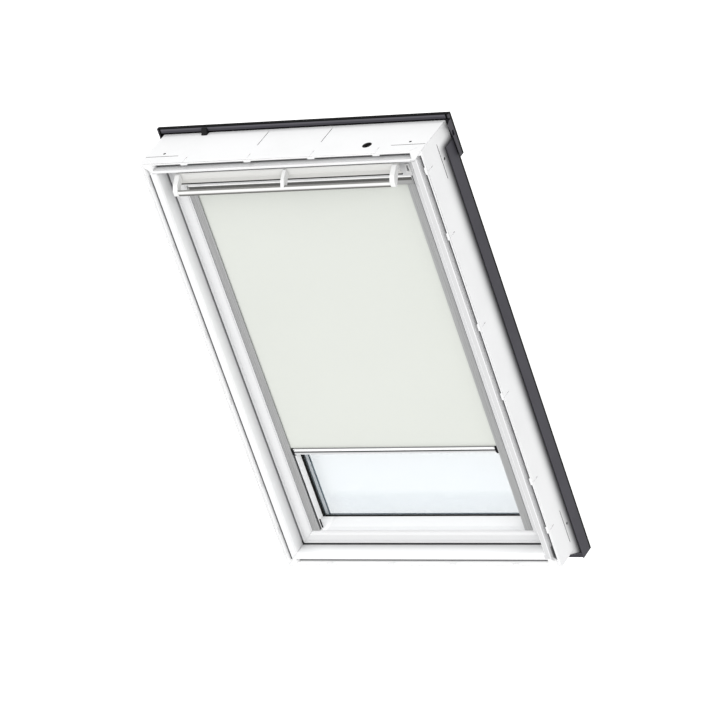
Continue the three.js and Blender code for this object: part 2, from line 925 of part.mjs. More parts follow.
// The sheet that wraps the sill's underside and the foot of the frame's outer face
function makeSillCover() {
  const flangeFrom = frameDepth + seatGap;
  const lap = frameWidth / 2 - sideCoverLap - seatGap;
  const under = -sillDrop - seatGap;
  const noseY = sillNoseY - seatGap;
  const tray = [
    [undersideFlat + seatGap, -seatGap],
    [undersideFlat + seatGap, -seatGap - sheet],
    [noseY - sheet, -sillNoseDrop - sheet],
    [noseY - sheet, under - sheet],
    [flangeFrom, under - sheet],
    [flangeFrom, under],
    [noseY, under],
    [noseY, -sillNoseDrop - seatGap],
  ];
  const face = [
    [flangeFrom - seatGap, under - sheet],
    [flangeFrom + sheet, under - sheet],
    [flangeFrom + sheet, sillCoverTopZ],
    [flangeFrom, sillCoverTopZ],
    [flangeFrom, under],
    [flangeFrom - seatGap, under],
  ];
  const trayHalf = frameWidth / 2 + sideCoverOut - sheet - seatGap;
  add("sill_cover", join([alongX(tray, -trayHalf, trayHalf), alongX(face, -lap, lap)]), finishes.cladding);
}

// Aluminium covers on the sash: the lower ones lap over the joint and swing out with the sash
function makeSashCovers() {
  const base = sashBackY + seatGap;
  const under = frameDepth + seatGap + sheet + lapGap;
  const over = under + sheet;
  const baseTop = base + coverBaseThick;
  const inner = sashHalf - coverBaseInner;
  const outer = sashHalf - paneEdgeGap;
  const webX = sashHalf - coverWeb;
  const headZ = sashTopZ - coverBaseInner;
  const footZ = sashBottomZ + coverFootInner;
  const footLapZ = sashBottomZ + coverFootLap;
  const lapTop = centreZ - lapCoverFromPivot;
  for (const [name, side] of [["left", -1], ["right", 1]]) {
    const place = (section) => {
      const corners = section.map(([x, y]) => [side * x, y]);
      return side > 0 ? corners : corners.reverse();
    };
    const plate = [
      [inner, base],
      [outer, base],
      [outer, baseTop],
      [inner, baseTop],
    ];
    const lapped = [
      [webX, base],
      [webX + sheet, base],
      [webX + sheet, under],
      [jointCoverOuter, under],
      [jointCoverOuter, over],
      [webX, over],
    ];
    const pieces = [
      alongZ(place(plate), footZ + seatGap, headZ - seatGap),
      alongZ(place(lapped), footZ + seatGap, lapTop),
    ];
    add(`sash_cover_${name}`, join(pieces), finishes.cladding);
  }
  const head = block(-outer, outer, base, baseTop, headZ, sashTopZ - paneEdgeGap);
  add("sash_cover_top", head, finishes.cladding);
  const webZ = sashBottomZ + coverWeb;
  const foot = [
    [base, webZ],
    [under, webZ],
    [under, lapCoverFootZ],
    [over, lapCoverFootZ],
    [over, footLapZ],
    [over - sheet, footLapZ],
    [over - sheet, webZ + sheet],
    [baseTop, webZ + sheet],
    [baseTop, footZ],
    [base, footZ],
  ];
  add("sash_cover_bottom", alongX(foot, -outer, outer), finishes.cladding);
}

// Lock: case in the sash's head, tongue that the control bar tilts, striker in the frame
function strikerPocket() {
  const face = -frameHeight / 2 + frameRim;
  return block(
    face - plateThickness - seatGap,
    face + overrun,
    lockY - lockWidth / 2 - seatGap,
    lockY + lockWidth / 2 + seatGap,
    -lockLength / 2 - seatGap,
    lockLength / 2 + seatGap,
  );
}

function makeLock() {
  const half = lockLength / 2;
  const caseTop = sashTopZ;
  const caseBottom = caseTop - lockDepth;
  const slotHalf = tongueWidth / 2 + seatGap;
  const pivotZ = caseTop - tonguePivotInset;
  const trunnionHalf = tongueWidth / 2 + trunnionReach;
  const box = block(-half, half, lockY - lockWidth / 2, lockY + lockWidth / 2, caseBottom, caseTop);
  const slot = block(
    -slotHalf,
    slotHalf,
    lockY - tongueSlot / 2,
    lockY + tongueSlot / 2,
    caseBottom + seatGap + sheet,
    caseTop + overrun,
  );
  const bore = trunnionRadius + seatGap;
  const holes = rodAlongX(bore, -trunnionHalf - seatGap, trunnionHalf + seatGap, lockY, pivotZ);
  add("lock_case", cut(box, [slot, holes]), finishes.steel);

  const blade = alongX(
    [
      [lockY - tongueThickness / 2, pivotZ - tongueThickness / 2],
      [lockY + tongueThickness / 2, pivotZ - tongueThickness / 2],
      [lockY + tongueThickness / 2, caseTop + tongueRise],
      [lockY - tongueThickness / 2, caseTop + tongueRise],
    ],
    -tongueWidth / 2,
    tongueWidth / 2,
  );
  const trunnion = rodAlongX(trunnionRadius, -trunnionHalf, trunnionHalf, lockY, pivotZ);
  add("latch_tongue", join([blade, trunnion]), finishes.steel);

  const strikerZ = openingTopZ;
  const plate = block(
    -half,
    half,
    lockY - lockWidth / 2,
    lockY + lockWidth / 2,
    strikerZ,
    strikerZ + plateThickness,
  );
  const window = block(
    -strikerSlot,
    strikerSlot,
    lockY - strikerSlot / 2,
    lockY + strikerSlot / 2,
    strikerZ - overrun,
    strikerZ + plateThickness + overrun,
  );
  add("striker_plate", cut(plate, [window]), finishes.steel);
}

function boltHole() {
  const face = -frameHeight / 2 + frameRim;
  return rodAlongX(boltRadius + seatGap, face - boltHoleDepth, face + overrun, boltY, boltX);
}

// The bolt slides in a bore in the sash's head; its knob stands out through a slotted plate

function boltBore() {
  const face = -sashHeight / 2;
  const length = boltLength + 2 * seatGap;
  return rodAlongX(boltRadius + seatGap, face - overrun, face + length, boltY, boltX);
}

function knobSlot(fromY) {
  const slotHalf = knobRadius + seatGap;
  const face = -sashHeight / 2;
  const near = sashTopZ - knobZ - knobTravel - slotHalf;
  const far = sashTopZ - knobZ + slotHalf;
  return block(face + near, face + far, fromY, boltY, boltX - slotHalf, boltX + slotHalf);
}

function makeBarrelBolt() {
  const back = sashFaceY - seatGap;
  const slotHalf = knobRadius + seatGap;
  const slot = block(
    boltX - slotHalf,
    boltX + slotHalf,
    back - sheet - overrun,
    back + overrun,
    knobZ - slotHalf,
    knobZ + slotHalf + knobTravel,
  );
  const guide = block(
    boltX - guideWidth / 2,
    boltX + guideWidth / 2,
    back - sheet,
    back,
    guideBottom,
    guideTop,
  );
  add("bolt_guide", cut(guide, [slot]), finishes.whiteTrim);
  const boltTop = sashTopZ - seatGap;
  const shank = rodAlongZ(boltRadius, boltX, boltY, boltTop - boltLength, boltTop);
  const knob = new THREE.CylinderGeometry(knobRadius, knobRadius, knobReach, roundSides).translate(
    boltX,
    boltY - knobReach / 2,
    knobZ,
  );
  add("barrel_bolt", join([shank, knob]), finishes.steel);
}

// Ventilation flap, its brackets with their pins, and the air filter behind it
function makeFlap() {
  const hingeZ = frameHeight - flapHingeInset;
  const topZ = frameHeight - flapTopInset;
  const bottomZ = topZ - flapDrop;
  const bend = topZ - flapDrop / 2;
  const backY = flapFrontY + flapThickness;
  const panel = [
    [flapFrontY, topZ],
    [flapFrontY, bend],
    [flapFrontY + flapSetback, bottomZ],
    [backY + flapSetback, bottomZ],
    [backY, bend],
    [backY, topZ],
  ];
  const pieces = [alongX(panel.reverse(), -flapHalf, flapHalf)];
  const bores = [];
  for (const from of [-flapHalf, flapHalf - knuckleLength]) {
    const to = from + knuckleLength;
    const web = block(
      from,
      to,
      backY - seatGap,
      flapHingeY,
      hingeZ - knuckleRadius / 2,
      hingeZ + knuckleRadius / 2,
    );
    pieces.push(web, rodAlongX(knuckleRadius, from, to, flapHingeY, hingeZ));
    bores.push(rodAlongX(knuckleBore + seatGap, from - overrun, to + overrun, flapHingeY, hingeZ));
  }
  add("vent_flap", cut(join(pieces), bores), finishes.whiteTrim);

  const sealTop = bottomZ - seatGap;
  const seal = block(
    -flapHalf,
    flapHalf,
    flapFrontY + flapSetback,
    backY + flapSetback,
    sealTop - flapSealHeight,
    sealTop,
  );
  add("flap_seal", seal, finishes.blackRubber);

  const bracketOut = flapHalf - knuckleLength - seatGap;
  const bracketIn = bracketOut - bracketWidth;
  for (const [name, side] of [["left", -1], ["right", 1]]) {
    const along = (near, far) => (side < 0 ? [-far, -near] : [near, far]);
    const cheek = alongX(
      [
        [flapHingeY, hingeZ + knuckleRadius],
        [flapHingeY, hingeZ - knuckleRadius],
        [sashFaceY - seatGap, hingeZ - bracketDrop],
        [sashFaceY - seatGap, hingeZ + knuckleRadius],
      ].reverse(),
      ...along(bracketIn, bracketOut),
    );
    const eye = rodAlongX(knuckleRadius, ...along(bracketIn, bracketOut), flapHingeY, hingeZ);
    const reach = along(bracketIn + overrun, flapHalf - seatGap);
    const pin = rodAlongX(hingePinRadius, ...reach, flapHingeY, hingeZ);
    add(`flap_bracket_${name}`, join([cheek, eye, pin]), finishes.whiteTrim);
  }

  const filterTop = topZ - filterDrop;
  const filter = block(
    -filterHalf,
    filterHalf,
    sashFaceY - seatGap - filterDepth,
    sashFaceY - seatGap,
    filterTop - filterHeight,
    filterTop,
  );
  add("air_filter", filter, finishes.foam);
}

function barSection(grow) {
  const barZ = frameHeight - barInset;
  const front = barY - barDepth / 2 - grow;
  const back = barY + barDepth / 2 + grow;
  const bottom = barZ - barHeight / 2 - grow;
  const top = barZ + barHeight / 2 + grow;
  const round = barRound + grow;
  return [
    [front, bottom, round],
    [back, bottom, round],
    [back, top, round],
    [front, top, round],
  ];
}

// Control bar on three arms that spring from the flap; the outer two close the bar's ends
function makeControlBar() {
  add("control_bar", alongX(barSection(0), -barHalf, barHalf), finishes.whiteTrim);

  const barZ = frameHeight - barInset;
  const front = barY - barDepth / 2;
  const back = barY + barDepth / 2;
  const top = barZ + barHeight / 2;
  const bottom = barZ - barHeight / 2;
  const rootY = flapFrontY - seatGap;
  const rootTop = frameHeight - armTopInset;
  const arm = [
    [rootY, rootTop],
    [rootY, rootTop - armRootDrop],
    [back, bottom + barRound],
    [back, bottom, barRound],
    [front, bottom, barRound],
    [front, top, armRound],
    [front + armKneeReach, top + armKneeRise, armKneeRound],
    [rootY - armCrest, rootTop, armRound],
  ].reverse();
  const ends = [["left", -flapHalf], ["right", flapHalf - armWidth]];
  for (const [name, from] of ends) {
    add(`bar_arm_${name}`, alongX(arm, from, from + armWidth), finishes.whiteTrim);
  }
  const middle = alongX(arm, -middleArmWidth / 2, middleArmWidth / 2);
  const through = alongX(barSection(seatGap), -middleArmWidth, middleArmWidth);
  add("bar_arm_middle", cut(middle, [through]), finishes.whiteTrim);
}

// Blind cassette with its ends
function makeCassette() {
  const top = cassetteTopZ;
  const back = cassetteBackY;
  const half = cassetteOuterX - cassetteEnd - seatGap;
  const section = [
    [channelFrontY, cassetteBottomZ],
    [channelFrontY, top, cassetteWall],
    [back, top],
    [back, cassetteBottomZ],
    [channelBackY, cassetteBottomZ],
    [channelBackY, cassetteBottomZ + cassetteWall],
    [back - cassetteWall, cassetteBottomZ + cassetteWall],
    [back - cassetteWall, top - cassetteWall],
    [channelFrontY + cassetteWall, top - cassetteWall],
    [channelFrontY + cassetteWall, cassetteBottomZ],
  ].reverse();
  add("blind_cassette", alongX(section, -half, half), finishes.greyAluminium);

  for (const [name, side] of [["left", -1], ["right", 1]]) {
    const [from, to] = side < 0 ? [-cassetteOuterX, -half - seatGap] : [half + seatGap, cassetteOuterX];
    const plate = block(from, to, channelFrontY, back, cassetteBottomZ, top);
    const bore = rodAlongX(journalBore, from - overrun, to + overrun, rollerY, rollerZ);
    add(`cassette_end_${name}`, cut(plate, [bore]), finishes.greyAluminium);
  }
}

// Roller: a tube with the wound cloth on it, turning on a spring cartridge and a journal
function makeRoller() {
  const endX = cassetteOuterX - cassetteEnd - seatGap;
  const tubeHalf = endX - seatGap;
  const journalEnd = cassetteOuterX - seatGap;
  const tubeBore = tubeRadius - tubeWall;
  const turned = (points) =>
    new THREE.LatheGeometry(points.map(([radius, x]) => new THREE.Vector2(radius, x)), roundSides)
      .rotateZ(-QUARTER_TURN)
      .translate(0, rollerY, rollerZ);
  const tube = [
    [tubeBore, -tubeHalf],
    [tubeRadius, -tubeHalf],
    [tubeRadius, tubeHalf],
    [journalRadius, tubeHalf],
    [journalRadius, journalEnd],
    [0, journalEnd],
    [0, tubeHalf - tubeRadius],
    [tubeBore, tubeHalf - tubeRadius],
    [tubeBore, -tubeHalf],
  ];
  add("roller_tube", turned(tube), finishes.brightAluminium);

  const rollHalf = tubeHalf - rollEndInset;
  const roll = [
    [tubeRadius + seatGap, -rollHalf],
    [rollRadius - clothThickness, -rollHalf],
    [rollRadius - clothThickness, rollHalf],
    [tubeRadius + seatGap, rollHalf],
    [tubeRadius + seatGap, -rollHalf],
  ];
  add("cloth_roll", turned(roll), finishes.cloth);

  const cartridge = [
    [0, -journalEnd],
    [journalRadius, -journalEnd],
    [journalRadius, -tubeHalf],
    [cartridgeRadius, -tubeHalf],
    [cartridgeRadius, cartridgeLength - tubeHalf],
    [0, cartridgeLength - tubeHalf],
  ];
  add("spring_cartridge", turned(cartridge), finishes.steel);
}

// Ribbed side channels with a narrow slot for the cloth's edges, each with a clip at its foot
function makeChannels() {
  const ribs = channelRibShares.map((share) => share * channelWidth);
  const front = [];
  for (const rib of ribs) {
    front.push([rib, 0], [rib, -channelRib], [rib + channelRibWidth, -channelRib], [rib + channelRibWidth, 0]);
  }
  const section = [
    [0, channelEdgeDepth],
    [channelEdge, channelEdgeDepth],
    [channelEdge, 0],
    ...front,
    [channelWidth, 0],
    [channelWidth, channelFront],
    [channelWall, channelFront],
    [channelWall, channelFront + channelSlot],
    [channelWidth + channelBackReach, channelFront + channelSlot],
    [channelWidth + channelBackReach, channelDepth],
    [0, channelDepth],
  ];
  const clipInner = channelInnerX - channelBackReach - footShow;
  for (const [name, side] of [["left", -1], ["right", 1]]) {
    const corners = section.map(([inset, y]) => [side * (channelOuterX - inset), channelFrontY + y]);
    const ordered = side > 0 ? corners.reverse() : corners;
    add(`channel_${name}`, alongZ(ordered, channelFootZ, channelTopZ), finishes.greyAluminium);
    const [from, to] = side < 0 ? [-clipInner - footWidth, -clipInner] : [clipInner, clipInner + footWidth];
    const footY = channelBackY + seatGap;
    const footFrom = channelFootZ + footRise;
    const foot = block(from, to, footY, footY + footDepth, footFrom, footFrom + footHeight);
    add(`channel_foot_${name}`, foot, finishes.blackPlastic);
  }
}

// Cloth as it hangs at rest, from the roller down to the bottom bar
function makeCloth() {
  const half = channelInnerX + clothInChannel;
  const barTop = barRestZ + bottomBarHeight + seatGap;
  const cloth = block(
    -half,
    half,
    clothY - clothThickness / 2,
    clothY + clothThickness / 2,
    barTop,
    rollerZ,
  );
  add("cloth", cloth, finishes.cloth);
}

function makeBottomBar() {
  const front = clothY - bottomBarDepth / 2;
  const back = clothY + bottomBarDepth / 2;
  const top = barRestZ + bottomBarHeight;
  const capHalf = channelInnerX - channelBackReach - barEndGap;
  const half = capHalf - barCapWidth - seatGap;
  const notchTop = top - barBeadHeight;
  const notchBottom = notchTop - barNotchHeight;
  const bar = alongX(
    [
      [front, barRestZ, bottomBarRound],
      [back, barRestZ, bottomBarRound],
      [back, top, bottomBarRound],
      [front - barBeadReach, top, barBeadRound],
      [front - barBeadReach, notchTop, barBeadRound],
      [front + barNotchDepth, notchTop],
      [front + barNotchDepth, notchBottom],
      [front, notchBottom],
    ],
    -half,
    half,
  );
  add("bottom_bar", bar, finishes.brightAluminium);
  for (const [name, side] of [["left", -1], ["right", 1]]) {
    const along = (near, far) => (side < 0 ? [-far, -near] : [near, far]);
    const cap = block(
      ...along(half + seatGap, capHalf),
      clothY - barCapDepth / 2,
      clothY + barCapDepth / 2,
      barRestZ,
      top,
    );
    const tongue = block(
      ...along(half + seatGap, channelInnerX + shoeInChannel),
      clothY - channelSlot / 2 + shoeSlack,
      clothY + channelSlot / 2 - shoeSlack,
      barRestZ - shoeOverhang,
      top,
    );
    add(`bar_shoe_${name}`, join([cap, tongue]), finishes.blackPlastic);
  }
}

makeFrame();
makeGrommet();
makeSill();
makeJointSeal();
makeSash();
makeGlazing();
makePivots();
makeSideCovers();
makeHood();
makeJointCovers();
makeSillCover();
makeSashCovers();
makeLock();
makeBarrelBolt();
makeFlap();
makeControlBar();
makeCassette();
makeRoller();
makeChannels();
makeCloth();
makeBottomBar();

export default model;
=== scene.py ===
import json
import math

import bmesh
import bpy
from mathutils import Matrix, Vector


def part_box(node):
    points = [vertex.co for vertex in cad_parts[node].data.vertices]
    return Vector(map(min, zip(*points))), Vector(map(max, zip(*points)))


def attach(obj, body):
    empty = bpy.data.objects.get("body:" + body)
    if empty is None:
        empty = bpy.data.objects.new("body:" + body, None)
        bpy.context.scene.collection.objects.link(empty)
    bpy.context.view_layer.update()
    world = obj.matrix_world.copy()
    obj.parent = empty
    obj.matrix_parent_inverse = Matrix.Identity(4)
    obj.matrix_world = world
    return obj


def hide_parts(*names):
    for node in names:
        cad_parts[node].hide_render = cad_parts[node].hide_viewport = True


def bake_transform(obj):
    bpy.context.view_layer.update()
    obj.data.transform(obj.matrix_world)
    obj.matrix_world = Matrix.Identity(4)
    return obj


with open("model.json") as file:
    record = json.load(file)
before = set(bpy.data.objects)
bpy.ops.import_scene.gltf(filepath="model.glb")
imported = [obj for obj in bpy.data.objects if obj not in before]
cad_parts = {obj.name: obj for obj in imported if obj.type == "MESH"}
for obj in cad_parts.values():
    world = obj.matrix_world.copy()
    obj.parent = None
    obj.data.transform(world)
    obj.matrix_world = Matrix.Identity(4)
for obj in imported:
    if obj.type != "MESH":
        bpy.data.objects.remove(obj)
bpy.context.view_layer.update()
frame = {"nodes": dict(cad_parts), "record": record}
nodes = frame["nodes"]
bodies = frame["record"]["behaviour"]["bodies"]
bodyOf = {node: body for body, names in bodies.items() for node in names}
slotOf = {row["node"]: row["material_slot"] for row in frame["record"]["subparts"]}
scene = bpy.context.scene
mm = 0.001
print("frame loaded")


# camera: it stands right of the window and above it, and is rolled as the photograph is; angles in degrees
cameraSetup = {
    "focal": 235.4837,
    "sensor": 36.0,
    "near": 0.5,
    "far": 200.0,
    "place": (5.84876, -8.2447, 5.87257),
    "aside": 35.2831,
    "down": 27.6297,
    "roll": -19.4534,
}


def makeCamera(setup):
    data = bpy.data.cameras.new("camera")
    data.lens = setup["focal"]
    data.sensor_width = setup["sensor"]
    data.clip_start = setup["near"]
    data.clip_end = setup["far"]
    camera = bpy.data.objects.new("camera", data)
    scene.collection.objects.link(camera)
    aside = Matrix.Rotation(math.radians(setup["aside"]), 4, "Z")
    tilt = Matrix.Rotation(math.radians(90.0 - setup["down"]), 4, "X")
    roll = Matrix.Rotation(math.radians(setup["roll"]), 4, "Z")
    camera.matrix_world = Matrix.Translation(setup["place"]) @ aside @ tilt @ roll
    scene.camera = camera


makeCamera(cameraSetup)


def places(base, span):
    return [base + place * mm for place in span]


# a shader socket that takes Python's operators
class Wire:
    def __init__(self, recipe, socket):
        self.recipe = recipe
        self.socket = socket

    def math(self, operation, a, b=0.0):
        return self.recipe.wire("ShaderNodeMath", {"operation": operation}, {0: a, 1: b})

    def __add__(self, other):
        return self.math("ADD", self, other)

    def __radd__(self, other):
        return self.math("ADD", other, self)

    def __sub__(self, other):
        return self.math("SUBTRACT", self, other)

    def __rsub__(self, other):
        return self.math("SUBTRACT", other, self)

    def __mul__(self, other):
        return self.math("MULTIPLY", self, other)

    def __rmul__(self, other):
        return self.math("MULTIPLY", other, self)

    def __gt__(self, other):
        return self.math("GREATER_THAN", self, other)

    def __lt__(self, other):
        return self.math("LESS_THAN", self, other)

    def larger(self, other):
        return self.math("MAXIMUM", self, other)

    def sine(self):
        return self.math("SINE", self)

    def size(self):
        return self.math("ABSOLUTE", self)

    def power(self, other):
        return self.math("POWER", self, other)

    # from 0 at start to 1 at end, whichever of them is the larger
    def smoothUp(self, start, end):
        return self.recipe.wire(
            "ShaderNodeMapRange",
            {"interpolation_type": "SMOOTHSTEP"},
            {"Value": self, "From Min": start, "From Max": end, "To Min": 0.0, "To Max": 1.0},
        )

    # the same between two places given in mm from base
    def across(self, base, span):
        return self.smoothUp(*places(base, span))

    def within(self, base, span):
        start, end = places(base, span)
        return (self > start) * (self < end)


# one material, whose x, y and z are the part's own coordinates in metres
class Recipe:
    def __init__(self, name):
        self.material = bpy.data.materials.new(name)
        self.material.use_nodes = True
        self.tree = self.material.node_tree
        self.tree.nodes.clear()
        self.place = self.wire("ShaderNodeTexCoord", {}, {}, output="Object")
        self.x, self.y, self.z = self.axes(self.place)

    def node(self, kind, settings, inputs):
        made = self.tree.nodes.new(kind)
        for key, value in settings.items():
            setattr(made, key, value)
        for key, value in inputs.items():
            if isinstance(value, Wire):
                self.tree.links.new(value.socket, made.inputs[key])
            else:
                made.inputs[key].default_value = value
        return made

    def wire(self, kind, settings, inputs, output=0):
        return Wire(self, self.node(kind, settings, inputs).outputs[output])

    def axes(self, vector):
        split = self.node("ShaderNodeSeparateXYZ", {}, {0: vector})
        return [Wire(self, out) for out in split.outputs]

    def stretched(self, scale):
        return self.wire(
            "ShaderNodeVectorMath", {"operation": "MULTIPLY"}, {0: self.place, 1: scale}
        )

    def noise(self, scale, detail, rough, stretch=None):
        place = self.stretched(stretch) if stretch else self.place
        inputs = {"Vector": place, "Scale": scale, "Detail": detail, "Roughness": rough}
        return self.wire("ShaderNodeTexNoise", {}, inputs)

    # sockets 6 and 7 are a Mix node's two colours, and output 2 is its colour
    def mixColors(self, factor, a, b):
        return self.wire("ShaderNodeMix", {"data_type": "RGBA"}, {0: factor, 6: a, 7: b}, output=2)

    def bump(self, height, strength, distance, under=None):
        inputs = {"Height": height, "Strength": strength, "Distance": distance}
        if under is not None:
            inputs["Normal"] = under
        return self.wire("ShaderNodeBump", {}, inputs)

    def finish(self, sockets):
        shader = self.wire("ShaderNodeBsdfPrincipled", {}, sockets)
        self.node("ShaderNodeOutputMaterial", {}, {"Surface": shader})
        return self.material


# finishes: a noise is its scale, detail and roughness, a bump its strength and its depth in metres, and
# every other pair of places is in mm from the face or middle that the note above it names

def rgb(r, g, b):
    return (r, g, b, 1.0)


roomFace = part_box("frame_top")[0][1]
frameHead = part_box("frame_top")[1][2]
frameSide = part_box("frame_right")[1][0]
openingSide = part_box("frame_right")[0][0]
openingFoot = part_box("frame_bottom")[1][2]
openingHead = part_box("frame_top")[0][2]
openingMiddle = (openingFoot + openingHead) / 2
openingRise = (openingHead - openingFoot) / 2

whiteSettings = {
    "fresh": rgb(0.63, 0.632, 0.636),
    "wornAndLit": rgb(0.605, 0.607, 0.61),
    "cloud": (7.0, 4.0, 0.6),
    "cloudSpan": (0.35, 0.75),
    "peel": (900.0, 2.0, 0.4),
    "peelBump": (0.35, 0.00004),
    "swirl": (60.0, 3.0, 0.5),
    "swirlBump": (0.25, 0.0001),
    "roughness": 0.42,
    "patchy": 0.12,
    "shine": 0.42,
}
# start, middle, end and widths from the frame's opening, depths, fade and gap from its room face, and
# footHeight from its foot
grooveSettings = {
    "start": (4.0, 4.5),
    "middle": (19.0, 25.0),
    "end": (37.5, 38.0),
    "depth": (0.5, 26.0),
    "levelDeep": (17.0, 22.0),
    "sideDeep": (9.0, 14.0),
    "footHeight": 50.0,
    # painted shade on the groove's walls, painted light on its outer wall and a painted shadow at its
    # bottom
    "dim": rgb(0.6, 0.601, 0.605),
    "bright": rgb(0.9, 0.9, 0.9),
    "shadow": rgb(0.17, 0.17, 0.173),
}
# painted shade and shadow on the reveal, darkest in the gap behind it
revealSettings = {
    "width": 1.0,
    "fade": (2.0, 40.0),
    "front": rgb(0.76, 0.762, 0.765),
    "back": rgb(0.53, 0.532, 0.536),
    "gap": (37.0, 39.5),
    "gapShade": rgb(0.28, 0.28, 0.284),
    "footGapShadow": rgb(0.04, 0.04, 0.041),
}
lipSettings = {"width": (3.0, 15.0), "depth": 0.5, "right": rgb(0.47, 0.472, 0.476)}
cutSettings = {"width": (30.0, 38.7), "depth": (27.0, 126.0), "inside": rgb(0.07, 0.07, 0.071)}
# a painted shadow beside the side covers; the last two from the frame's outer side and its head
sideShadowSettings = {
    "color": rgb(0.16, 0.16, 0.165),
    "depth": (43.0, 97.5),
    "power": 2.2,
    "side": -0.5,
    "head": (-28.0, -53.0),
}


def outFromOpening(recipe):
    reach = recipe.x.size() - openingSide
    rise = (recipe.z - openingMiddle).size() - openingRise
    return reach.larger(rise)


def nearFoot(recipe):
    return recipe.z < grooveSettings["footHeight"] * mm


# painted shade in the lining groove on its lip side and at its bottom, painted light on its outer wall
def shadeGroove(recipe, color, out, settings):
    inside = out.across(0.0, settings["start"]) * (1.0 - out.across(0.0, settings["end"]))
    inside = inside * recipe.y.within(roomFace, settings["depth"])
    outer = out.across(0.0, settings["middle"])
    walls = recipe.mixColors(outer, settings["dim"], settings["bright"])
    level = (recipe.z - openingMiddle).size() > openingRise
    leftSide = (recipe.x < -openingSide) * (1.0 - level)
    near = leftSide.larger(nearFoot(recipe))
    bottom = recipe.y.across(roomFace, settings["levelDeep"])
    bottom = bottom.larger(near * recipe.y.across(roomFace, settings["sideDeep"]))
    walls = recipe.mixColors(bottom, walls, settings["shadow"])
    return recipe.mixColors(inside, color, walls)


# painted shade greys the reveal towards the sash, and a painted shadow darkens the gap behind it
def shadeReveal(recipe, color, out, settings):
    fade = recipe.y.across(roomFace, settings["fade"])
    reveal = recipe.mixColors(fade, settings["front"], settings["back"])
    gap = recipe.mixColors(nearFoot(recipe), settings["gapShade"], settings["footGapShadow"])
    reveal = recipe.mixColors(recipe.y.across(roomFace, settings["gap"]), reveal, gap)
    return recipe.mixColors(out < settings["width"] * mm, color, reveal)


# painted shade: the right lip's room face is darker than the left one's
def shadeRightLip(recipe, color, out, settings):
    onFace = out.within(0.0, settings["width"]) * (recipe.y < roomFace + settings["depth"] * mm)
    return recipe.mixColors(onFace * (recipe.x > openingSide), color, settings["right"])


# painted shade darkens the inside of the slits and pilot holes in the outer faces
def shadeCuts(recipe, color, out, settings):
    cut = out.within(0.0, settings["width"]) * recipe.y.within(roomFace, settings["depth"])
    return recipe.mixColors(cut, color, settings["inside"])


# painted shadow: the outer sides darken towards the side covers
def shadeSides(recipe, color, settings):
    deep = recipe.y.across(roomFace, settings["depth"]).power(settings["power"])
    outside = recipe.x.size() > frameSide + settings["side"] * mm
    outside = outside * recipe.z.across(frameHead, settings["head"])
    return recipe.mixColors(deep * outside, color, settings["color"])


def mouldedWhite(name, settings):
    recipe = Recipe(name)
    cloud = recipe.noise(*settings["cloud"])
    peel = recipe.noise(*settings["peel"])
    swirl = recipe.noise(*settings["swirl"])
    patches = cloud.smoothUp(*settings["cloudSpan"])
    color = recipe.mixColors(patches, settings["fresh"], settings["wornAndLit"])
    out = outFromOpening(recipe)
    color = shadeGroove(recipe, color, out, grooveSettings)
    color = shadeReveal(recipe, color, out, revealSettings)
    color = shadeRightLip(recipe, color, out, lipSettings)
    color = shadeCuts(recipe, color, out, cutSettings)
    color = shadeSides(recipe, color, sideShadowSettings)
    soft = recipe.bump(swirl, *settings["swirlBump"])
    return recipe.finish({
        "Base Color": color,
        "Roughness": settings["roughness"] + (cloud - 0.5) * settings["patchy"],
        "Specular IOR Level": settings["shine"],
        "Normal": recipe.bump(peel, *settings["peelBump"], soft),
    })


# leftReach leftwards from the window's middle, depths from the sash's room face, edge from the frame's
# opening
# painted shade on the room face, painted light on the inner slopes, most on the left ones
sashSettings = {
    "face": rgb(0.55, 0.552, 0.557),
    "inner": rgb(0.72, 0.722, 0.725),
    "leftInnerLit": rgb(0.92, 0.92, 0.92),
    "leftReach": (270.0, 280.0),
    "innerDepth": (6.0, 12.0),
    "edge": (-4.5, -3.5),
    "edgeDepth": 1.5,
    "cloud": (9.0, 4.0, 0.6),
    "streak": (500.0, 2.0, 0.5),
    "streakStretch": 0.004,
    "streakSpan": (0.3, 0.7),
    "streakShare": 0.25,
    "bump": (0.3, 0.00005),
    "roughness": 0.4,
    "patchy": 0.12,
    "shine": 0.42,
}


def sashWhite(name, settings):
    recipe = Recipe(name)
    cloud = recipe.noise(*settings["cloud"])
    peel = recipe.noise(*whiteSettings["peel"])
    long = settings["streakStretch"]
    upright = recipe.noise(*settings["streak"], stretch=(1.0, 1.0, long))
    level = recipe.noise(*settings["streak"], stretch=(long, 1.0, 1.0))
    streaks = (upright + level) * 0.5
    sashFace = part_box("sash_top")[0][1]
    inner = recipe.y.across(sashFace, settings["innerDepth"])
    left = (recipe.x * -1.0).across(0.0, settings["leftReach"])
    slope = recipe.mixColors(left, settings["inner"], settings["leftInnerLit"])
    color = recipe.mixColors(inner, settings["face"], slope)
    streaky = streaks.smoothUp(*settings["streakSpan"]) * settings["streakShare"]
    color = recipe.mixColors(streaky, color, whiteSettings["fresh"])
    # painted shadow along the outer edge, in the gap to the frame
    outerEdge = outFromOpening(recipe).across(0.0, settings["edge"])
    outerEdge = outerEdge * (recipe.y > sashFace + settings["edgeDepth"] * mm)
    return recipe.finish({
        "Base Color": recipe.mixColors(outerEdge, color, revealSettings["gapShade"]),
        "Roughness": settings["roughness"] + (cloud - 0.5) * settings["patchy"],
        "Specular IOR Level": settings["shine"],
        "Normal": recipe.bump(peel + streaks, *settings["bump"]),
    })


# what all lacquered pieces share
filmSettings = {
    "grain": (1400.0, 2.0, 0.5),
    "grainBump": (0.2, 0.00002),
    "patchy": 0.08,
    "shine": 0.5,
    "coatRoughness": 0.12,
}

lacquerSettings = {
    "color": rgb(0.62, 0.622, 0.618),
    "shade": rgb(0.59, 0.592, 0.588),
    "cloud": (18.0, 3.0, 0.5),
    "roughness": 0.3,
    "coat": 0.15,
}
